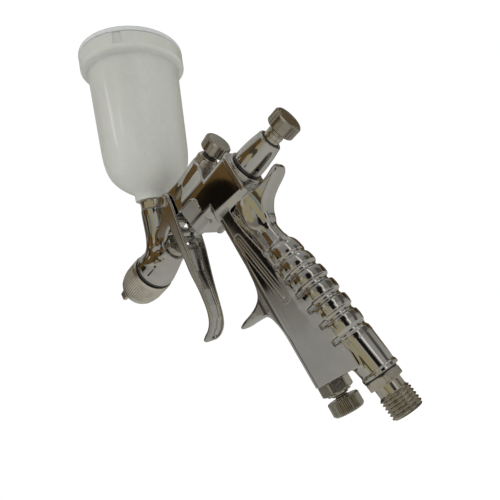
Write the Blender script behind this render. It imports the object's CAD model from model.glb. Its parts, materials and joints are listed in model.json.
"""Visual model of a mini gravity-feed spray gun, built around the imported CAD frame.

Shapes are drawn in millimetres on a few axis lines that come from the frame: the
needle line (x to the rear, z up), the cup line and the three control lines.
"""
import json
import math
import bmesh
import bpy
import numpy as np
from mathutils import Matrix, Vector

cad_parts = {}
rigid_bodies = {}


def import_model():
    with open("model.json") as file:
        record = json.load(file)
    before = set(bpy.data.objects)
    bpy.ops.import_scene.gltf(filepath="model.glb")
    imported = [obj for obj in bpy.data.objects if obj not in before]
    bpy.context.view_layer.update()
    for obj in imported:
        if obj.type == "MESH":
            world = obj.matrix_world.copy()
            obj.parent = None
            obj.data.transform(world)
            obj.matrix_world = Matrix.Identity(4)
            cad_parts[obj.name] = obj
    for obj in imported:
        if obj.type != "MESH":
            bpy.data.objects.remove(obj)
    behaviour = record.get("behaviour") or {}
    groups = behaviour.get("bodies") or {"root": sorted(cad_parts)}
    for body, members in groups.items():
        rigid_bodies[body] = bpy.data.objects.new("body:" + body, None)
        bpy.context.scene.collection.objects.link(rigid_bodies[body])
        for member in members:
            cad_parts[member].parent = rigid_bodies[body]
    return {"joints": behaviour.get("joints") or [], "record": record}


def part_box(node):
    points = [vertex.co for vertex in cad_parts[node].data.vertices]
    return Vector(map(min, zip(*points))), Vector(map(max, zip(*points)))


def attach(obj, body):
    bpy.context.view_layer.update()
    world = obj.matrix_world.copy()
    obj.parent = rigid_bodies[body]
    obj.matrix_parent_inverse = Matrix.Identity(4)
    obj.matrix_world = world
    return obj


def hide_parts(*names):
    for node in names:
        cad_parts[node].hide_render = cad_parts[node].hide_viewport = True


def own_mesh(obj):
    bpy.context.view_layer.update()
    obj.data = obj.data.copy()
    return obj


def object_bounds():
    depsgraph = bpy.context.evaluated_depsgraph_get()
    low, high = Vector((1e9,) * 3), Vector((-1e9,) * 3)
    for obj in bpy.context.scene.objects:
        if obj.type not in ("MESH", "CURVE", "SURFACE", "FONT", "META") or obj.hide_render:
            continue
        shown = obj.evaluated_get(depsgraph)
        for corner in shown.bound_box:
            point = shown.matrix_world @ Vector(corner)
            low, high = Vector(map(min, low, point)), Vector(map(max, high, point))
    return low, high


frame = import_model()
cad_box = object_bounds()

MM = 0.001
JOINTS = {j["name"]: j for j in frame["joints"]}
TAU = 2 * math.pi
HEX = math.cos(TAU / 12)
NO_LIMIT = 99


# ---------------------------------------------------------------- axis lines
class Line:
    """A straight axis: its start in metres, its direction, and two side directions."""

    def __init__(self, start, along):
        self.start = Vector(start)
        self.z = Vector(along).normalized()
        self.y = Vector((0, 1, 0))
        self.x = self.y.cross(self.z)

    def matrix(self, spin=0.0):
        turn = Matrix.Rotation(spin, 4, "Z")
        basis = Matrix((self.x, self.y, self.z)).transposed().to_4x4()
        return Matrix.Translation(self.start) @ basis @ turn @ Matrix.Scale(MM, 4)


needle_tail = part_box("fluid_needle")
NEEDLE_REAR = 46
NEEDLE_START = Vector((needle_tail[1][0] - NEEDLE_REAR * MM, 0,
                       (needle_tail[0][2] + needle_tail[1][2]) / 2))


def on_gun(x, y, z):
    """A point in millimetres about the needle line, in the row frame."""
    return NEEDLE_START + Vector((x, y, z)) * MM


CUP_X = -42.3
CUP_DIR = Vector(JOINTS["cup_turn"]["axis"])
PATTERN_DIR = Vector(JOINTS["pattern_knob_turn"]["axis"])
AIR_DIR = -Vector(JOINTS["air_knob_turn"]["axis"])
INLET_DIR = -Vector(frame["record"]["mounts"][0]["axis"])
GRIP_LEAN = math.radians(7.7)

NEEDLE = Line(NEEDLE_START, (1, 0, 0))
CUP = Line(on_gun(CUP_X, 0, 0), CUP_DIR)
PATTERN = Line(JOINTS["pattern_knob_turn"]["pos_m"], PATTERN_DIR)
AIR = Line(JOINTS["air_knob_turn"]["pos_m"], AIR_DIR)
INLET = Line((0, 0, 0), INLET_DIR)
PIVOT = Line(JOINTS["trigger_pull"]["pos_m"], (0, -1, 0))
PIVOT.y = Vector((0, 0, 1))
PIVOT.x = PIVOT.y.cross(PIVOT.z)


# ---------------------------------------------------------------- mesh helpers
def put_in_scene(name, data):
    obj = bpy.data.objects.new(name, data)
    bpy.context.scene.collection.objects.link(obj)
    return obj


def add_object(name, verts, faces, matrix=None):
    mesh = bpy.data.meshes.new(name)
    mesh.from_pydata([tuple(v) for v in verts], [], faces)
    if matrix is not None:
        mesh.transform(matrix)
    return put_in_scene(name, mesh)


def tidy_mesh(obj, sharp_deg=35):
    """Merges doubled points, turns faces outward and smooths all but sharp edges."""
    bm = bmesh.new()
    bm.from_mesh(obj.data)
    bmesh.ops.remove_doubles(bm, verts=bm.verts, dist=2e-6)
    bmesh.ops.recalc_face_normals(bm, faces=bm.faces)
    bm.to_mesh(obj.data)
    bm.free()
    obj.data.polygons.foreach_set("use_smooth", [True] * len(obj.data.polygons))
    obj.data.set_sharp_from_angle(angle=math.radians(sharp_deg))
    return obj


def rounded(points, radius=0.3, steps=3, keep_axis=False):
    """A closed outline with its corners turned into short curves. A third number is
    that corner's own radius. keep_axis leaves points on the turning axis alone."""
    count = len(points)
    out = []
    for i, point in enumerate(points):
        here = np.array(point[:2], float)
        size = point[2] if len(point) > 2 else radius
        before = np.array(points[i - 1][:2], float) - here
        after = np.array(points[(i + 1) % count][:2], float) - here
        if size <= 0 or (keep_axis and here[0] < 0.02):
            out.append(here)
            continue
        a, b = np.linalg.norm(before), np.linalg.norm(after)
        start = here + before / a * min(size, 0.45 * a)
        end = here + after / b * min(size, 0.45 * b)
        for k in range(steps + 1):
            t = k / steps
            out.append((1 - t) ** 2 * start + 2 * t * (1 - t) * here + t * t * end)
    return np.array(out)


def turned(name, profile, line, radius=0.3, segments=144, cut=None, spin=0.0):
    """A turned piece from a closed outline of (radius, height) points. cut(angle, height)
    gives the largest radius at each place, for flutes, flats and threads."""
    outline = rounded(profile, radius, keep_axis=True)
    angles = np.arange(segments) / segments * TAU
    r = np.repeat(outline[:, :1], segments, axis=1)
    s = np.repeat(outline[:, 1:], segments, axis=1)
    if cut is not None:
        r = np.minimum(r, cut(angles[None, :], s))
    verts = np.stack([r * np.cos(angles), r * np.sin(angles), s], -1).reshape(-1, 3)
    rows = len(outline)
    faces = []
    for i in range(rows):
        j = (i + 1) % rows
        for k in range(segments):
            n = (k + 1) % segments
            faces.append((i * segments + k, i * segments + n,
                          j * segments + n, j * segments + k))
    obj = add_object(name, verts, faces, line.matrix(spin))
    return tidy_mesh(obj)


def hexagon(half_flats, largest, low, high):
    """Largest radius of a hexagon between two heights, and no limit beyond them."""
    def radius(angle, height):
        folded = np.mod(angle + TAU / 12, TAU / 6) - TAU / 12
        side = np.minimum(half_flats / np.cos(folded), largest)
        return np.where((height > low) & (height < high), side, NO_LIMIT)
    return radius


def fluted(outer, depth, centres, half_width):
    """Radius of a rim with round flutes at the given angles."""
    centres = np.asarray(centres)

    def radius(angle, height):
        gap = angle[..., None] - centres
        gap = np.abs(np.mod(gap + math.pi, TAU) - math.pi).min(-1)
        dip = np.clip(1 - (gap / half_width) ** 2, 0, 1)
        return outer - depth * np.sqrt(dip) + np.zeros_like(height)
    return radius


def dense(points, step):
    """The outline with extra points so that no part of it is longer than step."""
    out = []
    for a, b in zip(points, points[1:] + points[:1]):
        a, b = np.array(a[:2], float), np.array(b[:2], float)
        n = max(1, int(np.ceil(np.linalg.norm(b - a) / step)))
        out += [tuple(a + (b - a) * k / n) + (0,) for k in range(n)]
    return out


# ---------------------------------------------------------------- solids by distance
def rounded_and(a, b, r):
    """Where both solids are, with a round edge of radius r."""
    u, v = np.maximum(a + r, 0), np.maximum(b + r, 0)
    return np.minimum(-r, np.maximum(a, b)) + np.hypot(u, v)


def soft_or(a, b, k):
    """Both solids together, blended over a fillet of size k."""
    h = np.maximum(k - np.abs(a - b), 0) / k
    return np.minimum(a, b) - h * h * h * k / 6


def take_away(a, b, k=0.25):
    return rounded_and(a, -b, k)


def round_box(u, v):
    return np.hypot(np.maximum(u, 0), np.maximum(v, 0)) + np.minimum(np.maximum(u, v), 0)


def outline_distance(u, v, points):
    """Signed distance to a closed outline, negative inside."""
    pts = np.asarray(points, float)
    best = np.full(np.broadcast(u, v).shape, 1e9)
    sign = np.ones(best.shape)
    for (ax, ay), (bx, by) in zip(pts, np.roll(pts, 1, axis=0)):
        ex, ey = bx - ax, by - ay
        wx, wy = u - ax, v - ay
        t = np.clip((wx * ex + wy * ey) / (ex * ex + ey * ey), 0, 1)
        best = np.minimum(best, (wx - ex * t) ** 2 + (wy - ey * t) ** 2)
        above, below = v >= ay, v < by
        left = ex * wy > ey * wx
        flip = (above & below & left) | (~above & ~below & ~left)
        sign = np.where(flip, -sign, sign)
    return sign * np.sqrt(best)


def curved(points, steps=4):
    """A closed smooth curve through the points."""
    pts = np.array(points, float)
    p0, p1 = np.roll(pts, 1, 0), pts
    p2, p3 = np.roll(pts, -1, 0), np.roll(pts, -2, 0)
    out = []
    for k in range(steps):
        t = k / steps
        out.append(0.5 * (2 * p1 + (p2 - p0) * t + (2 * p0 - 5 * p1 + 4 * p2 - p3) * t ** 2
                          + (3 * p1 - p0 - 3 * p2 + p3) * t ** 3))
    return np.stack(out, 1).reshape(-1, 2)


def smooth_table(*points):
    """A smooth function through (place, value) points."""
    x, y = np.array(points, float).T
    slope = np.gradient(y, x)
    t = np.linspace(x[0], x[-1], 600)
    k = np.clip(np.searchsorted(x, t) - 1, 0, len(x) - 2)
    h = x[k + 1] - x[k]
    u = (t - x[k]) / h
    value = ((2 * u ** 3 - 3 * u ** 2 + 1) * y[k] + (u ** 3 - 2 * u ** 2 + u) * h * slope[k]
             + (3 * u ** 2 - 2 * u ** 3) * y[k + 1] + (u ** 3 - u ** 2) * h * slope[k + 1])
    return lambda s: np.interp(s, t, value)


def along(x, z, start, direction):
    """Height along a line in the middle plane, and the distance across it."""
    dx, dz = x - start[0], z - start[1]
    return dx * direction[0] + dz * direction[1], dx * direction[1] - dz * direction[0]


def surface_of(name, distance, low, high, step):
    """The mesh of a solid given by a distance function, with exact normals."""
    axes = [np.arange(a, b + step, step) for a, b in zip(low, high)]
    grid = distance(axes[0][:, None, None], axes[1][None, :, None], axes[2][None, None, :])
    grid = np.ascontiguousarray(np.broadcast_to(grid, [len(a) for a in axes]), np.float32)
    inside = grid < 0
    n = np.array(grid.shape)
    corners = [(i, j, k) for i in (0, 1) for j in (0, 1) for k in (0, 1)]

    def block(c, data):
        return data[c[0]:n[0] - 1 + c[0], c[1]:n[1] - 1 + c[1], c[2]:n[2] - 1 + c[2]]

    filled = sum(block(c, inside).astype(np.int8) for c in corners)
    active = (filled > 0) & (filled < 8)
    index = np.full(active.shape, -1)
    cells = np.argwhere(active)
    index[active] = np.arange(len(cells))
    total, hits = np.zeros((len(cells), 3)), np.zeros(len(cells))
    for a in corners:
        for axis in range(3):
            if a[axis]:
                continue
            b = list(a)
            b[axis] = 1
            da = grid[tuple((cells + a).T)]
            db = grid[tuple((cells + b).T)]
            cross = (da < 0) != (db < 0)
            t = np.where(cross, da / np.where(cross, da - db, 1), 0)
            point = np.array(a, float) + t[:, None] * (np.array(b) - np.array(a))
            total += point * cross[:, None]
            hits += cross
    verts = np.array(low) + (cells + total / hits[:, None]) * step

    def slope(p, e=0.02):
        base = distance(*p.T)
        g = [distance(*(p + np.eye(3)[i] * e).T) - base for i in range(3)]
        return base, np.stack(g, -1) / e

    for _ in range(3):
        base, g = slope(verts)
        move = g * (base / np.maximum((g * g).sum(1), 0.1))[:, None]
        size = np.linalg.norm(move, axis=1)[:, None]
        verts -= move * np.minimum(1, 0.5 * step / np.maximum(size, 1e-9))
    normals = slope(verts, 0.05)[1]
    normals /= np.maximum(np.linalg.norm(normals, axis=1), 1e-9)[:, None]

    quads = []
    for axis in range(3):
        u, v = (axis + 1) % 3, (axis + 2) % 3
        lo = [slice(1, None)] * 3
        hi = [slice(1, None)] * 3
        lo[axis], hi[axis] = slice(0, -1), slice(1, None)
        first, second = inside[tuple(lo)], inside[tuple(hi)]
        spots = np.argwhere(first != second)
        outward = first[tuple(spots.T)]
        spots[:, u] += 1
        spots[:, v] += 1
        ring = []
        for du, dv in ((-1, -1), (0, -1), (0, 0), (-1, 0)):
            c = spots.copy()
            c[:, u] += du
            c[:, v] += dv
            keep = (c < np.array(index.shape)).all(1)
            c = np.minimum(c, np.array(index.shape) - 1)
            ring.append(np.where(keep, index[tuple(c.T)], -1))
        ring = np.stack(ring, 1)
        good = (ring >= 0).all(1)
        ring, outward = ring[good], outward[good]
        ring[~outward] = ring[~outward][:, ::-1]
        quads.append(ring)
    quads = np.concatenate(quads)

    mesh = bpy.data.meshes.new(name)
    mesh.vertices.add(len(verts))
    world = verts * MM + np.array(NEEDLE_START)
    mesh.vertices.foreach_set("co", world.ravel())
    mesh.loops.add(quads.size)
    mesh.loops.foreach_set("vertex_index", quads.ravel().astype(np.int32))
    mesh.polygons.add(len(quads))
    mesh.polygons.foreach_set("loop_start", np.arange(0, quads.size, 4, dtype=np.int32))
    mesh.polygons.foreach_set("use_smooth", [True] * len(quads))
    mesh.update(calc_edges=True)
    mesh.validate()
    if len(mesh.vertices) == len(normals):
        mesh.normals_split_custom_set_from_vertices(normals)
    return put_in_scene(name, mesh)


# ---------------------------------------------------------------- gun body
def direction_in_side_view(vector):
    return vector[0], vector[2]


def plane_start(line):
    """Start of a line in millimetres about the needle line."""
    gap = (line.start - NEEDLE_START) / MM
    return gap[0], gap[2]


HEAD_R = smooth_table((-50, 11.4), (-48.4, 11.4), (-44, 10.6), (-38, 9.2), (-32, 7.7),
                      (-28, 7.3))
NECK_R = smooth_table((0, 10), (2, 9.5), (6, 8.5), (11, 7.4), (16, 7.0), (22, 7.2),
                      (28, 7.5), (31, 7.5))
PATTERN_R = smooth_table((-40, 4.6), (-34, 5.4), (-28, 6), (-14, 6))
WEB_HALF = smooth_table((0, 9.75), (3, 9.75), (6, 9.6), (9, 9.0), (12.5, 7.7), (16.5, 6.2),
                        (26, 5.4))
COLUMN_R = smooth_table((-3, 7.9), (1, 8.0), (6, 8.4), (10, 8.6), (60, 8.55), (64, 8.0),
                        (66, 6.7), (68, 6.2), (71.4, 5.95), (76, 6.0), (80, 6.5),
                        (84, 7.8), (88, 8.6), (96, 8.6))
HOOK_HALF = smooth_table((20, 8.7), (28, 7.9), (33, 6.5), (38, 5.5), (44, 4.9), (50, 4.3),
                         (53, 3.4))
TANG_HALF = smooth_table((-12, 2.6), (-6, 3.9), (4, 4.5), (9, 5.4), (13, 7.2), (20, 8.4))

ARM = rounded([(-36, 5), (-28, 3.5), (-23, 7), (-12, 8.5), (-4, 8), (2, 2), (19.2, 2),
               (18.2, 12), (17, 23.6), (2, 23.2), (-9, 24.4), (-15.5, 24.3), (-19, 20),
               (-23, 16), (-30, 13)], 1.8)
WEB = rounded([(-1.5, 0), (19.3, 0), (18.9, 8), (18, 21), (4, 19.5), (-1.5, 11)], 2.4)
HOOK = curved([(28, -12.6), (36, -13), (43.6, -12.7), (49.6, -10.9), (51.5, -11.3),
               (52, -13.6), (48.6, -15.9), (43.4, -17.9), (38.9, -20.4), (35.9, -24.4),
               (34.2, -28.6), (29, -30), (25, -24)])
TANG = curved([(18, -38), (14.2, -42), (12.8, -46.6), (10.6, -51), (6.2, -54.4),
               (0, -56.5), (-8, -57.7), (-11, -58.7), (-9.6, -60.3), (-2.6, -60.7),
               (4.6, -61.6), (9.2, -64), (12.4, -69), (18, -78)])
PANEL_REAR = [(0, -12), (22.4, -12), (22.6, -20), (23.5, -27), (26.6, -40), (28.6, -54),
              (30, -61.4), (32.8, -69), (34.7, -75.6), (35.7, -82.4), (36.6, -88.3),
              (37.3, -93.7), (37.3, -98.7), (0, -98.7)]
GROOVE_FIRST = 18.2
GROOVE_PITCH = 7.7
GROOVES = 7
GRIP_HALF = 8.6
COLUMN_SHIFT = 0.65
GRIP_FRONT = 12.6
BLOCK_HALF = 9.8
GRIP_START = (38.1, -104.8)
GRIP_XZ = (-math.sin(GRIP_LEAN), math.cos(GRIP_LEAN))
CUP_XZ = direction_in_side_view(CUP_DIR)
PATTERN_XZ = direction_in_side_view(PATTERN_DIR)
AIR_XZ = direction_in_side_view(AIR_DIR)
INLET_XZ = direction_in_side_view(INLET_DIR)
PIVOT_XZ = plane_start(PIVOT)
PIN_HOLE_R = 1.55
TRIGGER_EYE_R = 4.7


def pivot_reach(x, z):
    """Distance from the trigger's pivot line."""
    return np.hypot(x - PIVOT_XZ[0], z - PIVOT_XZ[1])


def grip_distance(x, y, z):
    side = np.abs(y)
    s, q = along(x, z, GRIP_START, GRIP_XZ)
    # flat panel with round front corners and a crisp rear edge
    front = rounded_and(GRIP_FRONT - x, side - GRIP_HALF, 4.6)
    panel = rounded_and(front, outline_distance(x, z, PANEL_REAR), 0.45)
    # ribbed column behind it
    step = (s - GROOVE_FIRST) / GROOVE_PITCH
    ribbed = (step > -0.5) & (step < GROOVES - 0.5)
    from_groove = np.where(ribbed, (step - np.round(step)) * GROOVE_PITCH, 99)
    swell = np.where(ribbed, 0.14 * np.cos(TAU * (step - 0.5)), 0)
    reach = np.hypot(q - COLUMN_SHIFT, y) + COLUMN_SHIFT
    column = rounded_and(reach - COLUMN_R(s) - swell, np.abs(s - 45) - 46, 0.8)
    groove = np.hypot(reach - 9.85, from_groove) - 1.65
    groove = np.maximum(groove, -q - 2.4)
    column = take_away(column, groove, 0.2)
    lip = rounded_and(reach - 8.55, np.abs(s - 0.6) - 1.0, 0.5)
    column = soft_or(column, lip, 0.8)
    shape = soft_or(panel, column, 2.2)
    # square pocket at the end of each groove
    box = np.maximum(np.abs(from_groove) - 1.1, np.abs(q + 1.4) - 1.9)
    pocket = rounded_and(box, 7.35 - side, 0.3)
    shape = take_away(shape, pocket, 0.22)
    ridge = z + 14.6
    slope = 0.3 * np.maximum(ridge, 0) + 0.2 * np.maximum(-ridge, 0)
    fade = np.clip((x - 27) / 5, 0, 1)
    hook = rounded_and(outline_distance(x, z, HOOK), side - HOOK_HALF(x) + slope * fade, 1.7)
    tang = rounded_and(outline_distance(x, z, TANG), side - TANG_HALF(x), 1.7)
    return soft_or(soft_or(shape, hook, 3.2), tang, 2.6)


def block_distance(x, y, z):
    side = np.abs(y)
    corner = 5.0
    over_y, over_z = side - BLOCK_HALF + corner, np.abs(z) - 9.3 + corner
    section = round_box(over_y, over_z) - corner
    block = rounded_and(section, np.abs(x - 17.25) - 18.75, 0.8)
    root = rounded_and(rounded_and(GRIP_FRONT - x, side - BLOCK_HALF, 3.4), x - 36, 0.8)
    root = rounded_and(root, np.abs(z + 6.6) - 7.2, 0.9)
    shape = np.minimum(block, root)
    # long slanted facet along the foot of each side
    facet_top = -9.2 - (x - 14) * 0.105
    facet = (side - BLOCK_HALF) + 1.55 * (facet_top - z) / np.maximum(facet_top + 13.8, 1)
    facet = np.where(x > 6, facet, -5)
    shape = rounded_and(shape, 0.95 * facet, 0.25)
    spoke = np.hypot(y, z)
    lip = np.minimum(section, np.maximum(side - BLOCK_HALF, np.abs(z + 6) - 6)) - 0.3
    shape = soft_or(shape, rounded_and(lip, np.abs(x - 35.1) - 0.9, 0.45), 0.7)
    collar = rounded_and(spoke - 9, np.abs(x - 33) - 4.6, 0.5)
    shape = soft_or(shape, collar, 0.4)
    over_x, over_z = np.abs(x - 3.9) - 3.2, np.abs(z + 2.9) - 5.7
    pad = rounded_and(round_box(over_x, over_z) - 2.2, (side - 11.8 - 0.24 * (z - 4)) * 0.97, 0.8)
    return soft_or(shape, np.maximum(pad, 6 - side), 0.5)


def body_bores(x, y, z):
    """The chambers and screw seats, which also give the body its real openings."""
    needle = (x, z)
    cup = along(x, z, (CUP_X, 0), CUP_XZ)
    pattern = along(x, z, plane_start(PATTERN), PATTERN_XZ)
    air = along(x, z, plane_start(AIR), AIR_XZ)
    inlet = along(x, z, plane_start(INLET), INLET_XZ)
    out = NO_LIMIT
    for (s, q), radius, low, high in (
            (needle, 8.6, -NO_LIMIT, -47.6), (needle, 5.05, -51.5, -38.5),
            (needle, 3.05, -34, -26), (needle, 6.3, -28, -23), (cup, 5.65, 21, 33),
            (cup, 3.4, 2, 22), (needle, 6.25, -3, 9.6), (needle, 5.65, 27, 39),
            (needle, 5.2, 8, 24), (pattern, 4.05, -17.6, -8), (pattern, 2.3, -34, -17),
            (inlet, 12, 5.8, 15.8), (inlet, 5.05, 14, 29), (air, 4.55, -1, 22)):
        reach = np.abs(s - (low + high) / 2) - (high - low) / 2
        out = np.minimum(out, np.maximum(np.hypot(q, y) - radius, reach))
    return out


def body_distance(x, y, z):
    side = np.abs(y)
    spoke = np.hypot(y, z)
    cup_s, cup_q = along(x, z, (CUP_X, 0), CUP_XZ)
    head = rounded_and(spoke - HEAD_R(x), np.abs(x + 39) - 11, 0.6)
    neck = rounded_and(np.hypot(cup_q, y) - NECK_R(cup_s), np.abs(cup_s - 15.5) - 15.5, 0.5)
    shape = soft_or(head, neck, 3.2)
    arm = rounded_and(outline_distance(x, z, ARM), side - 5.4, 1.6)
    shape = soft_or(shape, arm, 2.6)
    pat_s, pat_q = along(x, z, plane_start(PATTERN), PATTERN_XZ)
    housing = rounded_and(np.hypot(pat_q, y) - PATTERN_R(pat_s), np.abs(pat_s + 26.4) - 11.6,
                          0.5)
    shape = soft_or(shape, housing, 1.6)
    web = rounded_and(outline_distance(x, z, WEB), side - WEB_HALF(z), 1.3)
    block = np.minimum(block_distance(x, y, z), web)
    shape = soft_or(shape, block, 2.0)
    shape = soft_or(shape, grip_distance(x, y, z), 1.2)
    shape = take_away(shape, body_bores(x, y, z), 0.25)
    return take_away(shape, pivot_reach(x, z) - PIN_HOLE_R, 0.2)


# ---------------------------------------------------------------- trigger
TRIGGER = rounded([(-16.6, 24), (-16.9, 16), (-17.2, 9), (-18.3, -0.8), (-18.8, -8),
                   (-20, -14), (-21.4, -20), (-22.2, -31), (-23.7, -41), (-26.4, -46.8),
                   (-30.2, -49.7), (-34.4, -51), (-36.6, -52.4), (-36, -54), (-33, -54.7),
                   (-29, -53.9), (-25, -51.3), (-22.4, -46.4), (-20.1, -38),
                   (-17.3, -27), (-14.7, -17), (-12.9, -10), (-11.1, -1), (-9.3, 7),
                   (-7.8, 15), (-7.6, 24)], 3)
TRIGGER_HOLLOW = [(-2, 26), (-30, 26), (-19, 12), (-15.8, 6), (-17, -2), (-17.6, -8),
                  (-18.9, -14), (-20.3, -20), (-21.1, -31), (-22.5, -40), (-24.9, -46.4),
                  (-28.6, -50.3), (-33.2, -52.2), (-34, -57), (-22, -57), (-14, -44),
                  (-2, -20)]
TRIGGER_HALF = smooth_table((-60, 3.9), (-50, 4.6), (-40, 5.0), (-30, 5.4), (-18, 6.4),
                            (-10, 7.2), (-4, 7.5), (30, 7.5))
TRIGGER_CHEEK = 1.3


def trigger_distance(x, y, z):
    side = np.abs(y)
    half = TRIGGER_HALF(z)
    outer = outline_distance(x, z, TRIGGER)
    cap = pivot_reach(x, z) - TRIGGER_EYE_R
    outer = np.where(z > PIVOT_XZ[1], cap, soft_or(outer, cap, 0.8))
    shape = rounded_and(outer, side - half, 1.7)
    hollow = rounded_and(outline_distance(x, z, TRIGGER_HOLLOW), side - half + TRIGGER_CHEEK,
                         2.0)
    shape = take_away(shape, hollow, 0.45)
    # saddle on the valve sleeve
    bar = rounded_and(np.hypot(x + 13.65, z) - 3, side - 6.2, 0.4)
    plate = rounded_and(np.maximum(np.abs(x + 15 + 0.12 * z) - 2.2, np.abs(z + 1) - 3.6),
                        side - 6.2, 0.4)
    shape = soft_or(shape, np.minimum(bar, plate), 0.8)
    open_front = np.maximum(4.8 - z, side - 5.8)
    shape = take_away(shape, open_front, 0.3)
    slot = np.maximum(side - 1.3, np.abs(z - 0.5) - 5.5)
    shape = take_away(shape, slot, 0.2)
    return take_away(shape, pivot_reach(x, z) - PIN_HOLE_R, 0.2)


# ---------------------------------------------------------------- materials
class Nodes:
    """Small helper that adds and links shader nodes."""

    def __init__(self, name):
        self.material = bpy.data.materials.new(name)
        self.material.use_nodes = True
        self.tree = self.material.node_tree
        self.tree.nodes.clear()
        self.out = self.tree.nodes.new("ShaderNodeOutputMaterial")
        self.where = self.add("ShaderNodeTexCoord").outputs["Object"]

    def add(self, kind, **inputs):
        node = self.tree.nodes.new(kind)
        for key, value in inputs.items():
            self.put(node, key.replace("_", " "), value)
        return node

    def put(self, node, socket, value):
        spot = node.inputs[socket]
        if isinstance(value, bpy.types.NodeSocket):
            self.tree.links.new(value, spot)
        else:
            spot.default_value = (*value, 1) if spot.type == "RGBA" else value

    def noise(self, scale, detail=3.0, rough=0.5, where=None, stretch=None):
        spot = where or self.where
        if stretch is not None:
            mapping = self.add("ShaderNodeMapping", Vector=spot, Scale=stretch)
            spot = mapping.outputs["Vector"]
        node = self.add("ShaderNodeTexNoise", Vector=spot, Scale=scale, Detail=detail,
                        Roughness=rough)
        return node.outputs["Fac"]

    def span(self, value, low, high, to_low=0.0, to_high=1.0):
        node = self.add("ShaderNodeMapRange", Value=value, From_Min=low, From_Max=high,
                        To_Min=to_low, To_Max=to_high)
        return node.outputs["Result"]

    def math(self, operation, a, b=0.0):
        node = self.tree.nodes.new("ShaderNodeMath")
        node.operation = operation
        self.put(node, 0, a)
        self.put(node, 1, b)
        return node.outputs[0]

    def mix(self, amount, first, second):
        node = self.tree.nodes.new("ShaderNodeMix")
        node.data_type = "RGBA"
        for socket, value in (("Factor", amount), (6, first), (7, second)):
            self.put(node, socket, value)
        return node.outputs[2]

    def stain(self, base, mask, amount, colour):
        return self.mix(self.math("MULTIPLY", mask, amount), base, colour)

    def vector(self, operation, a, b=None, output="Vector"):
        node = self.tree.nodes.new("ShaderNodeVectorMath")
        node.operation = operation
        self.put(node, 0, a)
        if b is not None:
            self.put(node, 1, b)
        return node.outputs[output]

    def bump(self, height, strength, distance, normal=None):
        below = {} if normal is None else {"Normal": normal}
        node = self.add("ShaderNodeBump", Height=height, Strength=strength,
                        Distance=distance, **below)
        return node.outputs["Normal"]

    def edges(self, radius):
        """One on worn outer edges and zero on flat surfaces."""
        bevel = self.add("ShaderNodeBevel", Radius=radius)
        bevel.samples = 4
        normal = self.add("ShaderNodeNewGeometry").outputs["Normal"]
        return self.span(self.vector("DOT_PRODUCT", bevel.outputs[0], normal, "Value"),
                         0.995, 0.93)

    def finish(self, kind="ShaderNodeBsdfPrincipled", **inputs):
        shader = self.add(kind, **inputs)
        self.tree.links.new(shader.outputs[0], self.out.inputs["Surface"])
        return self.material


def metal(name, colour, dull, rough_low, rough_high, wave=0.0, grain=0.0, stretch=None,
          wear=0.4, grime=0.0, dark=(0.05, 0.045, 0.035), crevice=0.0):
    """Plated or turned metal: cloudy roughness, fine grain, slight waves, dirt and wear."""
    n = Nodes(name)
    cloud = n.noise(90, 4, 0.6)
    fine = n.noise(900, 3, 0.6, stretch=stretch)
    specks = n.span(n.noise(1400, 2, 0.5), 0.68, 0.74)
    mixed = n.mix(n.span(cloud, 0.35, 0.7), colour, dull)
    if grime:
        mixed = n.stain(mixed, n.span(n.noise(260, 5, 0.7), 0.52, 0.72), grime, dark)
    mixed = n.stain(mixed, specks, 0.25, dark)
    if crevice:
        hidden = n.add("ShaderNodeAmbientOcclusion", Distance=0.0012).outputs["AO"]
        mixed = n.stain(mixed, n.span(hidden, 0.85, 0.35), crevice, dark)
    rough = n.span(n.math("ADD", n.math("MULTIPLY", cloud, 0.6),
                          n.math("MULTIPLY", fine, 0.4)), 0.3, 0.7, rough_low, rough_high)
    if wear:
        rough = n.math("ADD", rough, n.math("MULTIPLY", n.edges(0.0004), wear * 0.25))
    normal = n.bump(n.noise(32, 2, 0.4), wave, 0.002)
    if grain:
        normal = n.bump(fine, grain, 0.0002, normal)
    return n.finish(Base_Color=mixed, Metallic=1.0, Roughness=rough, Normal=normal)


def plain_soft(name, colour, second, rough, bump=0.15, scale=700):
    """Rubber or PTFE: a mottled, slightly grainy surface."""
    n = Nodes(name)
    cloud = n.noise(scale / 4, 4, 0.6)
    mixed = n.mix(n.span(cloud, 0.35, 0.65), colour, second)
    level = n.span(n.noise(scale, 3), 0.3, 0.7, rough - 0.08, rough + 0.08)
    normal = n.bump(n.noise(scale * 2, 3), bump, 0.0003)
    return n.finish(Base_Color=mixed, Roughness=level, Normal=normal)


def milky_plastic(name, colour, shade, rough_low, rough_high, see_through):
    """Translucent polythene with faint flow streaks, dust specks and fine scratches."""
    n = Nodes(name)
    cloud = n.noise(28, 3, 0.5)
    streak = n.noise(60, 3, 0.6, stretch=(9, 9, 0.35))
    dust = n.span(n.noise(1500, 2, 0.5), 0.70, 0.76)
    dirt = n.span(n.noise(520, 4, 0.7), 0.66, 0.78)
    mixed = n.mix(n.span(cloud, 0.3, 0.7), colour, shade)
    mixed = n.stain(mixed, n.span(streak, 0.45, 0.7), 0.035, (0.95, 0.95, 0.93))
    mixed = n.stain(mixed, dust, 0.35, (0.9, 0.9, 0.86))
    mixed = n.stain(mixed, dirt, 0.22, (0.30, 0.27, 0.20))
    level = n.span(n.noise(420, 4, 0.6), 0.3, 0.7, rough_low, rough_high)
    normal = n.bump(n.noise(240, 4, 0.6), 0.05, 0.0004)
    normal = n.bump(n.noise(2600, 2), 0.06, 0.0002, normal)
    return n.finish(Base_Color=mixed, Roughness=level, Normal=normal, IOR=1.5,
                    Coat_Weight=0.35, Coat_Roughness=0.07,
                    Subsurface_Weight=see_through, Subsurface_Radius=(0.012, 0.011, 0.009),
                    Subsurface_Scale=0.5)


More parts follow.
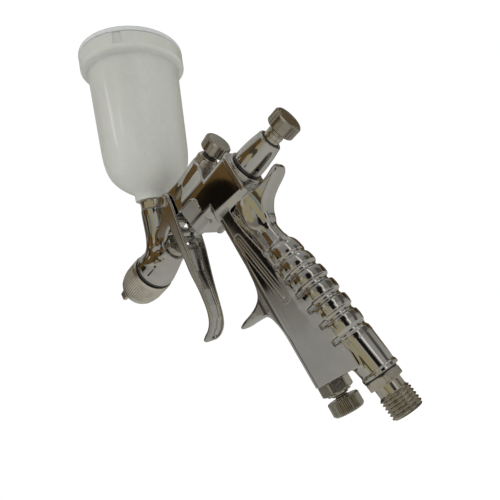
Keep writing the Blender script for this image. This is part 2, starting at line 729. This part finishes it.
CHROME = (0.66, 0.645, 0.62)
CHROME_DULL = (0.58, 0.565, 0.54)
NICKEL = (0.50, 0.465, 0.40)
NICKEL_DULL = (0.40, 0.37, 0.31)
chrome = metal("chrome", CHROME, CHROME_DULL, 0.035, 0.10, wave=0.10, wear=0.5)
steel = metal("worn_steel", (0.64, 0.63, 0.60), (0.56, 0.55, 0.525), 0.12, 0.21, wave=0.05,
              grain=0.03, stretch=(1, 1, 0.06), wear=0.6, grime=0.12)
nickel = metal("satin_nickel", NICKEL, NICKEL_DULL, 0.17, 0.27, wave=0.03, grain=0.12,
               wear=0.5, grime=0.3, crevice=0.9)
bright_nickel = metal("turned_nickel", (0.66, 0.62, 0.545), (0.54, 0.51, 0.44), 0.14, 0.25,
                      wave=0.03, grain=0.16, wear=0.5, grime=0.45)
cap_metal = metal("brushed_cap", (0.86, 0.825, 0.73), (0.75, 0.715, 0.63), 0.24, 0.34,
                  wave=0.0, grain=0.08, wear=0.4, grime=0.2, crevice=0.9)
brass = metal("brass", (0.62, 0.45, 0.20), (0.52, 0.38, 0.17), 0.16, 0.30, grain=0.15,
              grime=0.2)
spring_steel = metal("spring_steel", (0.50, 0.50, 0.50), (0.40, 0.40, 0.41), 0.16, 0.28,
                     grain=0.15, grime=0.2)
rubber = plain_soft("black_rubber", (0.012, 0.012, 0.012), (0.03, 0.029, 0.028), 0.42)
ptfe = plain_soft("white_ptfe", (0.72, 0.72, 0.69), (0.60, 0.60, 0.56), 0.42, 0.1)
stained_ptfe = plain_soft("stained_ptfe", (0.13, 0.12, 0.10), (0.085, 0.078, 0.062), 0.45, 0.1)
cup_plastic = milky_plastic("cup_plastic", (0.47, 0.475, 0.44), (0.43, 0.435, 0.395), 0.26,
                            0.42, 0.35)
lid_plastic = milky_plastic("lid_plastic", (0.52, 0.54, 0.54), (0.47, 0.485, 0.475), 0.22,
                            0.40, 0.35)


def give_material(obj, material):
    obj.data.materials.clear()
    obj.data.materials.append(material)
    return obj


def fit(obj, body, slot, material, *nodes):
    """Gives a piece its material, its body, its slot and the CAD nodes it stands for."""
    give_material(obj, material)
    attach(obj, body)
    if nodes:
        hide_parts(*nodes)
    return obj


# ---------------------------------------------------------------- cast pieces
BODY_STEP = 0.5
TRIGGER_STEP = 0.4


def make_body():
    body = surface_of("body_casting", body_distance, (-51.5, -12.6, -107.5),
                      (54, 12.6, 32.5), BODY_STEP)
    fit(body, "gun", "chrome", chrome, "gun_body")


def stadium(length, radius, count=24):
    """Points round a long shape with half-round ends."""
    out = []
    for k in range(2 * count):
        angle = TAU * (k + 0.5) / (2 * count)
        end = length / 2 if math.cos(angle) > 0 else -length / 2
        out.append((end + radius * math.cos(angle), radius * math.sin(angle)))
    return out


def make_label_bars():
    """A plain raised frame with a bar inside it, on each side of the grip."""
    lean = math.radians(9.5)
    centre = (21.3, -44.5)
    frame_steps = ((2.5, -0.2), (2.5, 0.16), (2.36, 0.26), (2.0, 0.26), (1.86, 0.16),
                   (1.86, -0.2))
    bar_steps = ((0.95, -0.2), (0.95, 0.16), (0.8, 0.26), (0.02, 0.28))
    for sign, label in ((-1, "near"), (1, "far")):
        verts, faces = [], []
        for steps, length in ((frame_steps, 35), (bar_steps, 33)):
            start = len(verts)
            ring = len(stadium(length, 1))
            for radius, height in steps:
                for u, v in stadium(length, radius):
                    x = centre[0] - math.sin(lean) * u + math.cos(lean) * v
                    z = centre[1] + math.cos(lean) * u + math.sin(lean) * v
                    verts.append(on_gun(x, sign * (GRIP_HALF + height), z))
            for i in range(len(steps) - 1):
                for k in range(ring):
                    n = (k + 1) % ring
                    a, b = start + i * ring, start + (i + 1) * ring
                    faces.append((a + k, a + n, b + n, b + k))
        bar = add_object("label_bar_" + label, verts, faces)
        tidy_mesh(bar, 50)
        fit(bar, "gun", "chrome", chrome)


def make_trigger():
    lever = surface_of("trigger_lever", trigger_distance, (-38.5, -8.5, -56.5),
                       (-6.5, 8.5, 26), TRIGGER_STEP)
    fit(lever, "trigger", "steel", steel, "trigger")


# ---------------------------------------------------------------- turned pieces
KNOB_R = 6.95
KNOB_GROUPS = (0, 120, 240)
FLUTE_STEP = 13
FLUTES = 5
FLUTE_DEPTH = 0.62
FLUTE_HALF = math.radians(4.3)
PIT_STEP = 16
PIT_INSET = 1.9


def knob_flutes():
    """Angles of the flutes, in three groups round the knob."""
    spread = [(i - (FLUTES - 1) / 2) * FLUTE_STEP for i in range(FLUTES)]
    return [math.radians(g + a) for g in KNOB_GROUPS for a in spread]


def make_knob(name, line, end, length, body, node, neck):
    """A fluted knob whose free end is at `end`, with its turned neck below it."""
    low = end - length
    profile = dense([(0.01, low), (KNOB_R - 0.5, low), (KNOB_R, low + 0.5),
                     (KNOB_R, end - 0.75), (KNOB_R - 0.75, end), (KNOB_R - 1.1, end - 0.12),
                     (0.01, end - 0.16)], 0.5)
    flutes = fluted(KNOB_R + 0.02, FLUTE_DEPTH, knob_flutes(), FLUTE_HALF)
    head = turned(name, profile, line, segments=360, cut=flutes)
    fit(head, body, "nickel", nickel, node)
    stem = turned(name + "_neck", neck, line, radius=0.15, segments=96)
    fit(stem, body, "nickel", bright_nickel)
    pits = []
    r = KNOB_R - PIT_INSET
    for group in KNOB_GROUPS:
        for step in (-1, 0, 1):
            angle = math.radians(group + step * PIT_STEP)
            pits.append((r * math.cos(angle), r * math.sin(angle)))
    punch_pits(name + "_pits", line, pits, end - 0.12, body)


def punch_pits(name, line, places, height, body):
    """Small round punch marks: a raised lip round a dark dish."""
    bm = bmesh.new()
    rings = ((0.0, -0.02), (0.2, 0.0), (0.3, 0.05), (0.36, 0.07), (0.44, 0.0))
    count = 12
    for px, py in places:
        loops = []
        for r, h in rings[1:]:
            loops.append([bm.verts.new((px + r * math.cos(TAU * k / count),
                                        py + r * math.sin(TAU * k / count), height + h))
                          for k in range(count)])
        centre = bm.verts.new((px, py, height + rings[0][1]))
        for k in range(count):
            n = (k + 1) % count
            bm.faces.new((centre, loops[0][k], loops[0][n]))
            for a, b in zip(loops, loops[1:]):
                bm.faces.new((a[k], b[k], b[n], a[n]))
    mesh = bpy.data.meshes.new(name)
    bm.to_mesh(mesh)
    bm.free()
    mesh.transform(line.matrix())
    mesh.polygons.foreach_set("use_smooth", [True] * len(mesh.polygons))
    fit(put_in_scene(name, mesh), body, "nickel", cap_metal)


def make_head():
    flutes = 60
    centres = [TAU * k / flutes for k in range(flutes)]
    groove = fluted(0, 0.34, centres, math.radians(1.7))

    def limit(angle, s):
        shell = np.interp(s, (-70.5, -67.6, -64, -54), (11, 11.75, 12.3, 12.3)) + 0.02
        depth = np.clip((s + 68.6) / 0.7, 0, 1) * np.clip((-54.2 - s) / 0.4, 0, 1)
        return shell + groove(angle, s) * depth + 9 * (s < -70.4) + 9 * (s > -54)

    profile = [(9.4, -72.6), (9.9, -72.5), (11, -70.5), (11.75, -67.6), (12.3, -64),
               (12.3, -54.6), (12.15, -53.6), (12.2, -53.3), (12.2, -52.6), (11.9, -51.95),
               (11.4, -51.9), (11.4, -61.9), (11.3, -62), (11.3, -66.6), (9.4, -66.6)]
    ring = turned("cap_ring_shell", dense(profile, 0.8), NEEDLE, segments=480, cut=limit)
    fit(ring, "cap_ring", "nickel", cap_metal, "cap_ring")
    seal = turned("head_seal", [(8.7, -51.7), (10.9, -51.7), (11.25, -51.2), (11.2, -50.2),
                                (10.9, -49.95), (8.7, -49.95)], NEEDLE)
    fit(seal, "gun", "rubber", rubber, "head_ring")


def make_guide():
    shell = turned("needle_guide_shell", [
        (3.3, 27.4), (5.6, 27.4), (5.6, 38.55), (7.3, 38.6), (7.58, 39.3, 0.6),
        (7.5, 42, 2), (7.3, 45, 2), (6.8, 49, 2), (6.2, 52.4, 1.5), (5.85, 54.3, 0.5),
        (5.4, 54.8), (4.45, 54.8), (4.45, 53.6), (4.05, 53.6), (4.05, 40), (3.3, 40)],
        NEEDLE, segments=192)
    fit(shell, "gun", "chrome", chrome, "needle_guide")
    front = turned("guide_seal", [(5.7, 37.6), (7.45, 37.6), (7.7, 37.9), (7.7, 38.35),
                                  (7.4, 38.6), (5.7, 38.6)], NEEDLE)
    fit(front, "gun", "rubber", rubber, "guide_front_ring")
    rear = turned("guide_end_seal", [(4.02, 53.7), (4.42, 53.7), (4.42, 55), (4.25, 55.15),
                                     (4.02, 55.1)], NEEDLE, radius=0.08)
    fit(rear, "gun", "rubber", rubber, "guide_rear_ring")


def make_knobs():
    make_knob("fluid_knob_head", NEEDLE, 67.1, 6.4, "fluid_knob", "fluid_knob", [
        (1.7, 52.6), (3.9, 52.6), (4, 52.8), (4, 56.2), (3.86, 56.35), (3.86, 56.6),
        (4, 56.75), (4, 58.6), (3.62, 58.8), (3.62, 59.3), (4, 59.5), (4, 60.6),
        (4.5, 60.85), (1.7, 60.9)])
    make_knob("pattern_knob_head", PATTERN, 0, 6.3, "pattern_knob", "pattern_knob", [
        (1.5, -16.4), (2.5, -16.4), (2.5, -7.6), (2.9, -7.0), (3.6, -6.6), (3.6, -6.2),
        (1.5, -6.2)])
    flip = Line(AIR.start, -AIR.z)
    make_knob("air_knob_head", flip, 0, 5.8, "air_knob", "air_knob", [
        (1.5, -19.7), (2.5, -19.7), (2.5, -6.6), (3.0, -6.2), (3.0, -5.7), (1.5, -5.7)])


def make_nuts():
    chamfer = [(2.6, -17.5), (3.95, -17.5), (3.95, -14.85), (5.0, -14.8), (5.75, -14.35, 0.1),
               (5.75, -10.65, 0.1), (5.0, -10.2), (4.55, -10.2), (4.55, -9.5), (4.3, -9.4),
               (2.6, -9.4)]
    nut = turned("pattern_nut_body", chamfer, PATTERN, radius=0.2, segments=180,
                 cut=hexagon(5.75 * HEX, 5.65, -14.82, -10.19), spin=0.35)
    fit(nut, "gun", "nickel", bright_nickel, "pattern_nut")
    profile = [(2.6, 7.6), (5.1, 7.6), (5.2, 7.7), (5.2, 8.35), (6.3, 8.4), (7.15, 8.9, 0.1),
               (7.15, 12.9, 0.1), (6.3, 13.4), (4.4, 13.4), (4.4, 21), (2.6, 21)]
    nut = turned("air_nut_body", profile, AIR, radius=0.2, segments=180,
                 cut=hexagon(7.2 * HEX, 7.1, 8.38, 13.41), spin=0.2)
    fit(nut, "gun", "nickel", bright_nickel, "air_nut")


THREAD_PITCH = 1.337
CREST_R = 6.58
ROOT_R = 5.8


def make_nipple():
    def thread(angle, s):
        turn = np.mod(s / THREAD_PITCH - angle / TAU, 1)
        tooth = np.abs(turn - 0.5) * 2
        cut = ROOT_R + (CREST_R - ROOT_R) * np.clip(tooth * 1.35 - 0.12, 0, 1)
        run_out = np.clip((s - 7.4) / 0.8, 0, 1)
        run_in = np.clip((0.55 - s) / 0.55, 0, 1)
        cut = cut + (CREST_R - cut) * run_out
        return np.minimum(cut, CREST_R - 0.75 * run_in)

    flats = hexagon(8.08 * HEX, 7.96, 11.9, 99)

    def limit(angle, s):
        return np.where(s < 8.4, thread(angle, s), flats(angle, s))

    wall = [(3.6, 0.35), (3.95, 0.0), (5.9, 0.0)]
    wall += [(CREST_R, 0.12 + 0.1 * k, 0) for k in range(77)]
    wall += [(5.75, 8.3), (5.6, 8.6), (5.6, 11.7), (5.8, 12.0), (7.2, 12.0), (8.0, 12.45, 0.1),
             (8.0, 14.75, 0.1), (7.2, 15.2), (5, 15.2), (5, 27), (3.6, 27)]
    nipple = turned("air_nipple_body", wall, INLET, radius=0.15, segments=216, cut=limit,
                    spin=0.55)
    fit(nipple, "gun", "nickel", bright_nickel, "air_nipple")
    washer = turned("nipple_seal", [(5.05, 15.2), (7.1, 15.2), (7.2, 15.3), (7.2, 15.7),
                                    (7.1, 15.8), (5.05, 15.8)], INLET, radius=0.1)
    fit(washer, "gun", "rubber", rubber, "nipple_washer")


# ---------------------------------------------------------------- cup and lid
def make_cup():
    joint = turned("cup_joint_body", [
        (3.6, 22), (5.55, 22), (5.6, 22.2), (5.6, 31.5), (7.3, 31.52), (7.45, 31.8),
        (7.45, 34.9), (7.45, 35.05), (7.45, 35.95), (7.3, 36.15), (5.9, 36.2),
        (5.9, 39), (6.6, 39.1), (6.6, 39.9), (5.9, 40), (5.9, 44.6), (3.6, 44.6)], CUP,
        radius=0.15, segments=180, cut=hexagon(6.95, 7.45, 31.4, 35.0))
    fit(joint, "cup", "nickel", bright_nickel, "cup_joint")

    def notch(angle, s):
        """A shallow pull notch in the rim."""
        place = math.radians(-50)
        across = (np.mod(angle - place + math.pi, TAU) - math.pi) * 29.2
        dip = 0.75 * ((np.abs(across) < 2.0) & (s > 113.4))
        return 29.22 - dip

    outer = [(6, 36.35), (9.4, 36.3), (9.65, 36.6), (9.65, 39.9, 0.5), (10.6, 41, 1),
             (14, 43, 2), (17.8, 46, 2), (20.8, 49.6, 2), (22.6, 53.4, 2), (23.7, 58, 2.5),
             (24.3, 64, 3), (24.6, 75, 5), (25.4, 106, 3), (25.55, 110.3, 0.6),
             (26.2, 110.9, 0.5), (28.4, 111.8, 0.5), (29.15, 112.8, 0.5)]
    rim = [(29.2, 112.8 + 0.25 * k, 0) for k in range(1, 27)] + [(28.95, 119.75, 0.2)]
    inner = [(27.5, 119.8), (27.5, 114.6, 1), (23.8, 108, 2), (23.0, 75, 5), (22.7, 64, 3),
             (22.2, 58.4, 2), (21.2, 54.2, 2), (19.6, 50.8, 1.5), (17, 47.8, 1.5),
             (13.4, 45, 1), (10, 43.4, 1), (6.7, 42.6), (6.7, 38.9), (6, 38.9)]
    cup = turned("cup_shell", outer + rim + inner, CUP, radius=0.3, segments=288, cut=notch)
    fit(cup, "cup", "cup", cup_plastic, "cup_body")

    lid = turned("lid_shell", [
        (2.1, 121.05), (24.6, 121.05), (25, 115.3), (26.6, 115.3), (27.15, 119.9),
        (29.15, 119.9), (29.3, 120.2), (29.3, 121.3, 0.5), (28.8, 122.4, 0.7),
        (27.7, 122.9, 0.5), (26.7, 122.9, 0.4), (25.8, 122.45, 0.4), (12, 122.4),
        (11.6, 122.7), (10.9, 122.7), (10.5, 122.4), (2.1, 122.4)], CUP, radius=0.25,
        segments=216)
    fit(lid, "lid", "lid", lid_plastic, "lid")
    plug = turned("vent_plug_body", [
        (0.6, 117.85), (1.8, 117.85), (2, 118.1), (2, 122.5), (4.1, 122.5), (4.2, 122.7),
        (4.2, 123.9, 0.5), (3.5, 124.7, 0.4), (0.9, 124.7), (0.6, 124.4)], CUP, radius=0.15,
        segments=96)
    fit(plug, "vent", "ptfe", ptfe, "vent_plug")


# ---------------------------------------------------------------- pivot pin
PIN_HEAD_TOP = 9.15
SLOT_SIZE = (7, 0.8, 1.2)
SLOT_TURN = math.radians(25)


def make_pin():
    """The pivot pin with a screwdriver slot cut in its head."""
    pin = turned("pivot_pin", [
        (0.01, -8.6), (1.3, -8.6), (1.5, -8.4), (1.5, 7.55), (2.9, 7.6), (3.05, 7.75),
        (3.05, 8.55, 0.3), (2.6, 9.08, 0.3), (0.01, 9.12)], PIVOT, radius=0.12, segments=96)
    fit(pin, "gun", "nickel", bright_nickel, "trigger_pin")
    mesh = bpy.data.meshes.new("slot_cutter")
    box = bmesh.new()
    bmesh.ops.create_cube(box, size=1.0)
    box.to_mesh(mesh)
    box.free()
    size = Matrix.Diagonal((*SLOT_SIZE, 1))
    mesh.transform(Matrix.Translation((0, 0, PIN_HEAD_TOP)) @ size)
    mesh.transform(PIVOT.matrix(SLOT_TURN))
    cutter = put_in_scene("slot_cutter", mesh)
    boolean = pin.modifiers.new("slot", "BOOLEAN")
    boolean.operation = "DIFFERENCE"
    boolean.object = cutter
    depsgraph = bpy.context.evaluated_depsgraph_get()
    cut_mesh = bpy.data.meshes.new_from_object(pin.evaluated_get(depsgraph))
    pin.modifiers.clear()
    pin.data = cut_mesh
    bpy.data.objects.remove(cutter)
    pin.data.set_sharp_from_angle(angle=math.radians(35))


# ---------------------------------------------------------------- springs
def make_coil(name, node, radius, wire, start, end, turns):
    """A compression spring with closed ends that shortens as the joint moves."""
    sides, steps = 10, 30
    count = turns * steps
    verts, faces = [], []
    for k in range(count + 1):
        angle = TAU * k / steps
        place = np.interp(k / steps, (0, 1, turns - 1, turns),
                          (start + wire, start + 3 * wire, end - 3 * wire, end - wire))
        for m in range(sides):
            around = TAU * m / sides
            r = radius + wire * math.cos(around)
            verts.append(on_gun(place + wire * math.sin(around), r * math.cos(angle),
                                r * math.sin(angle)))
    for k in range(count):
        for m in range(sides):
            a, b = k * sides + m, k * sides + (m + 1) % sides
            faces.append((a, b, b + sides, a + sides))
    faces.append(tuple(range(sides)))
    faces.append(tuple(range(count * sides + sides - 1, count * sides - 1, -1)))
    coil = add_object(name, verts, faces)
    tidy_mesh(coil, 50)
    fit(coil, "gun", "spring", spring_steel, node)
    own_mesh(coil)


def make_springs():
    make_coil("valve_spring_coil", "valve_spring", 3.9, 0.42, 9.5, 24.05, 7)
    make_coil("needle_spring_coil", "needle_spring", 2.5, 0.33, 30.15, 51.75, 10)


# ---------------------------------------------------------------- carried-over nodes
CARRIED = {
    "air_cap": cap_metal, "fluid_nozzle": steel, "air_baffle": brass,
    "needle_packing": ptfe, "packing_screw": bright_nickel, "fluid_needle": spring_steel,
    "needle_collar": brass, "pin_clip": spring_steel,
    "valve_guide": bright_nickel, "valve_packing": ptfe, "valve_sleeve": steel,
    "valve_seal": rubber, "fluid_stop": brass,
    "pattern_stem": brass, "pattern_ring": rubber, "air_stem": brass, "air_ring": rubber,
    "cup_filter": ptfe, "cup_gasket": stained_ptfe, "lid_seal": ptfe,
}


def dress_cad_nodes():
    """Gives the CAD nodes that stay visible their materials."""
    for node, material in CARRIED.items():
        for obj in bpy.data.objects:
            if obj.type == "MESH" and obj.name.split(".")[0] == node:
                give_material(obj, material)


# ---------------------------------------------------------------- studio
def hide_from(obj, *rays):
    for ray in rays:
        setattr(obj, "visible_" + ray, False)


# What the chrome mirrors besides the table, wall and ceiling. Each row of CRISP_THINGS and
# LOOSE_THINGS is a direction, a half-angle in degrees, the softness of its edge and a colour.
CRISP_THINGS = (
    (-0.38, -0.63, 0.68, 3.2, 0.001, (0.70, 0.66, 0.52)),
    (-0.38, -0.50, 0.78, 4.5, 0.001, (0.02, 0.016, 0.01)),
    (-0.38, -0.40, 0.84, 1.6, 0.0004, (0.28, 0.08, 0.06)),
    (-0.38, -0.86, -0.30, 5, 0.002, (0.03, 0.026, 0.018)),
)
# azimuth and half-width in degrees, lowest and highest height, colour
TALL_THINGS = (
    (277, 23, -0.25, 0.24, (0.38, 0.34, 0.21)), (262, 3, -0.3, 0.6, (0.07, 0.055, 0.035)),
    (318, 10, -0.15, 0.5, (0.012, 0.010, 0.008)), (338, 2.5, -0.2, 0.7, (0.95, 0.94, 0.90)),
    (20, 8, -0.3, 0.5, (0.10, 0.095, 0.085)), (200, 6, -0.1, 0.6, (0.04, 0.034, 0.025)),
)
LOOSE_THINGS = (
    (-0.95, -0.2, 0.25, 15, 0.03, (0.07, 0.06, 0.045)),
    (0.2, -0.9, 0.35, 10, 0.02, (0.60, 0.57, 0.47)),
    (0.1, -0.5, 0.85, 6, 0.01, (1.2, 1.2, 1.15)),
    (-0.8, 0.1, 0.6, 5, 0.01, (1.1, 1.1, 1.08)),
    (0.6, 0.1, 0.8, 9, 0.01, (1.2, 1.2, 1.18)),
    (0.05, -0.95, 0.08, 6, 0.01, (0.02, 0.16, 0.34)),
    # the far side, which the photograph doesn't show
    (0.1, 0.93, 0.35, 22, 0.015, (0.12, 0.080, 0.035)),
    (-0.25, 0.90, 0.33, 10, 0.015, (0.01, 0.009, 0.007)),
    (0.45, 0.85, 0.25, 11, 0.015, (0.015, 0.012, 0.009)),
    (0.75, 0.55, 0.35, 12, 0.015, (0.10, 0.085, 0.06)),
    (-0.75, 0.60, 0.28, 13, 0.015, (0.06, 0.052, 0.04)),
    (0.3, 0.6, 0.74, 7, 0.015, (1.0, 1.0, 0.97)),
    (-0.4, 0.7, 0.6, 6, 0.015, (0.55, 0.52, 0.42)),
)


def room_material():
    """The room that the chrome mirrors: a pale table below, a brown wall and dark things
    ahead on the camera's side, and a pale ceiling with lamps."""
    n = Nodes("room")
    place = n.add("ShaderNodeNewGeometry").outputs["Position"]
    direction = n.vector("NORMALIZE", place)
    wobble = n.add("ShaderNodeTexNoise", Vector=direction, Scale=2.6, Detail=2.0)
    centred = n.vector("SUBTRACT", wobble.outputs["Color"], (0.5, 0.5, 0.5))
    push = n.vector("MULTIPLY", centred, (0.3, 0.3, 0.3))
    bent = n.vector("NORMALIZE", n.vector("ADD", direction, push))
    parts = n.add("ShaderNodeSeparateXYZ", Vector=bent)
    height = parts.outputs["Z"]

    nudge = n.vector("MULTIPLY", centred, (0.06, 0.06, 0.06))
    steady = n.vector("NORMALIZE", n.vector("ADD", direction, nudge))

    def toward(x, y, z, edge, soft, spot=bent):
        dot = n.vector("DOT_PRODUCT", spot, Vector((x, y, z)).normalized(), "Value")
        limit = math.cos(math.radians(edge))
        return n.span(dot, limit, limit + soft)

    def strip(azimuth, half_width, low, high):
        """A tall narrow thing standing in one direction, between two heights."""
        a, w = math.radians(azimuth), math.sin(math.radians(half_width))
        across = n.vector("DOT_PRODUCT", bent, (-math.sin(a), math.cos(a), 0), "Value")
        ahead = n.vector("DOT_PRODUCT", bent, (math.cos(a), math.sin(a), 0), "Value")
        inside = n.math("MULTIPLY", n.span(n.math("ABSOLUTE", across), w + 0.012, w),
                        n.span(ahead, 0.2, 0.3))
        level = n.math("MULTIPLY", n.span(height, low - 0.02, low + 0.02),
                       n.span(height, high + 0.02, high - 0.02))
        return n.math("MULTIPLY", inside, level)

    above_table = n.span(height, 0.245, 0.27)
    low = n.mix(n.span(height, -0.9, 0.05), (0.46, 0.45, 0.42), (0.36, 0.357, 0.335))
    high = n.mix(n.span(height, 0.3, 0.95), (0.22, 0.212, 0.19), (0.40, 0.40, 0.385))
    shade = n.mix(n.span(height, 0.1, 0.2), low, high)
    shade = n.mix(toward(-0.50, -0.84, -0.22, 12, 0.04), shade, (0.56, 0.52, 0.41))
    wall = n.math("MULTIPLY", toward(-0.45, -0.8, 0.42, 33, 0.02), above_table)
    shade = n.mix(wall, shade, (0.135, 0.082, 0.030))
    dark = n.math("MULTIPLY", toward(-0.60, -0.78, 0.25, 15, 0.012), above_table)
    shade = n.mix(dark, shade, (0.006, 0.005, 0.004))
    shade = n.mix(toward(-0.507, -0.72, 0.482, 3.9, 0.0004, steady), shade,
                  (0.006, 0.005, 0.004))
    lever = n.mix(n.span(height, 0.24, 0.40), (0.36, 0.355, 0.31), (0.21, 0.19, 0.155))
    shade = n.mix(toward(-0.65, -0.665, 0.37, 9.0, 0.004, steady), shade, lever)
    shade = n.mix(toward(-0.75, -0.25, 0.60, 17, 0.01), shade, (0.055, 0.045, 0.028))
    shade = n.mix(toward(-0.74, -0.36, 0.57, 4.5, 0.002), shade, (0.62, 0.58, 0.45))
    for x, y, z, edge, soft, colour in CRISP_THINGS:
        shade = n.mix(toward(x, y, z, edge, soft, steady), shade, colour)
    for azimuth, half_width, low, high, colour in TALL_THINGS:
        shade = n.mix(strip(azimuth, half_width, low, high), shade, colour)
    for x, y, z, edge, soft, colour in LOOSE_THINGS:
        shade = n.mix(toward(x, y, z, edge, soft), shade, colour)
    return n.finish("ShaderNodeEmission", Color=shade, Strength=1.0)


def ball(name, radius, material):
    mesh = bpy.data.meshes.new(name)
    bm = bmesh.new()
    bmesh.ops.create_icosphere(bm, subdivisions=4, radius=radius)
    bm.to_mesh(mesh)
    bm.free()
    return give_material(put_in_scene(name, mesh), material)


def area_light(name, place, aim, size, power):
    data = bpy.data.lights.new(name, "AREA")
    data.shape = "RECTANGLE"
    data.size, data.size_y = size
    data.energy = power
    obj = put_in_scene(name, data)
    obj.location = place
    obj.rotation_euler = (Vector(place) - Vector(aim)).to_track_quat("Z", "Y").to_euler()
    return obj


ROOM_R = 3.0
BACKDROP_R = 3.4
FLOOR_HALF = 1.6
FLOOR_DROP = 0.09
LAMP_REACH = 0.7


def make_studio():
    """Soft white surroundings, a room for the chrome to mirror, and lamps on the cup."""
    cup_group = bpy.data.collections.new("cup_lit_by_lamps")
    for name in ("cup_shell", "lid_shell"):
        cup_group.objects.link(bpy.data.objects[name])
    middle = (cad_box[0] + cad_box[1]) / 2
    room = ball("room_mirrored", ROOM_R, room_material())
    hide_from(room, "camera", "diffuse", "transmission", "shadow", "volume_scatter")
    white = ball("white_backdrop", BACKDROP_R, Nodes("backdrop_light").finish(
        "ShaderNodeEmission", Color=(1, 1, 1), Strength=1.02))
    hide_from(white, "diffuse", "glossy", "transmission", "shadow")
    drop = cad_box[0][2] - FLOOR_DROP
    floor = add_object("pale_floor", [
        (u * FLOOR_HALF, v * FLOOR_HALF, drop) for u, v in ((-1, -1), (1, -1), (1, 1), (-1, 1))],
        [(0, 1, 2, 3)])
    n = Nodes("pale_floor")
    tone = n.mix(n.span(n.noise(6, 3), 0.3, 0.7), (0.93, 0.93, 0.925), (0.90, 0.90, 0.895))
    floor.data.materials.append(n.finish(Base_Color=tone, Roughness=0.8,
                                         Emission_Color=(1, 1, 1), Emission_Strength=0.45))
    hide_from(floor, "glossy")

    world = bpy.data.worlds.new("soft_white")
    world.use_nodes = True
    background = world.node_tree.nodes["Background"]
    background.inputs["Color"].default_value = (1.0, 1.0, 0.99, 1)
    background.inputs["Strength"].default_value = 0.68
    bpy.context.scene.world = world
    for name, way, size, power in (("key", (-0.35, -0.75, 0.75), (0.5, 0.4), 2.6),
                                   ("side", (0.8, -0.35, 0.25), (0.3, 0.6), 1.0)):
        hide_from(area_light(name, middle + Vector(way), middle, size, power), "glossy")
    cup_middle = on_gun(CUP_X, 0, 80)
    for name, way, size, power in (("lamp", (-0.14, -0.888, 0.438), (0.035, 0.20), 0.16),
                                   ("small_lamp", (0.22, -0.94, 0.26), (0.03, 0.05), 0.03)):
        lamp = area_light(name, cup_middle + Vector(way) * LAMP_REACH, cup_middle, size, power)
        lamp.light_linking.receiver_collection = cup_group


# ---------------------------------------------------------------- camera
CAMERA_PLACE = Vector((0.07479, -0.14230, 0.02951))
CAMERA_HEADING = math.radians(125.37)
CAMERA_TILT = math.radians(18.48)
CAMERA_ROLL = math.radians(-30.24)
CAMERA_LENS = 28.17
CAMERA_SHIFT = (0.0027, 0.0081)


def make_camera():
    """The photograph's viewpoint: close to the grip, looking up at the gun, and rolled."""
    data = bpy.data.cameras.new("photo_view")
    data.sensor_width = 36
    data.lens = CAMERA_LENS
    data.shift_x, data.shift_y = CAMERA_SHIFT
    data.clip_start = 0.01
    data.clip_end = 20
    camera = put_in_scene("photo_view", data)
    right_angle = math.radians(90)
    turn = (Matrix.Rotation(CAMERA_HEADING - right_angle, 4, "Z")
            @ Matrix.Rotation(CAMERA_TILT + right_angle, 4, "X")
            @ Matrix.Rotation(CAMERA_ROLL, 4, "Z"))
    camera.matrix_world = Matrix.Translation(CAMERA_PLACE) @ turn
    bpy.context.scene.camera = camera
    bpy.context.scene.view_settings.view_transform = "Standard"


make_camera()
dress_cad_nodes()
make_body()
make_label_bars()
make_trigger()
make_pin()
make_head()
make_guide()
make_knobs()
make_nuts()
make_nipple()
make_cup()
make_springs()
make_studio()
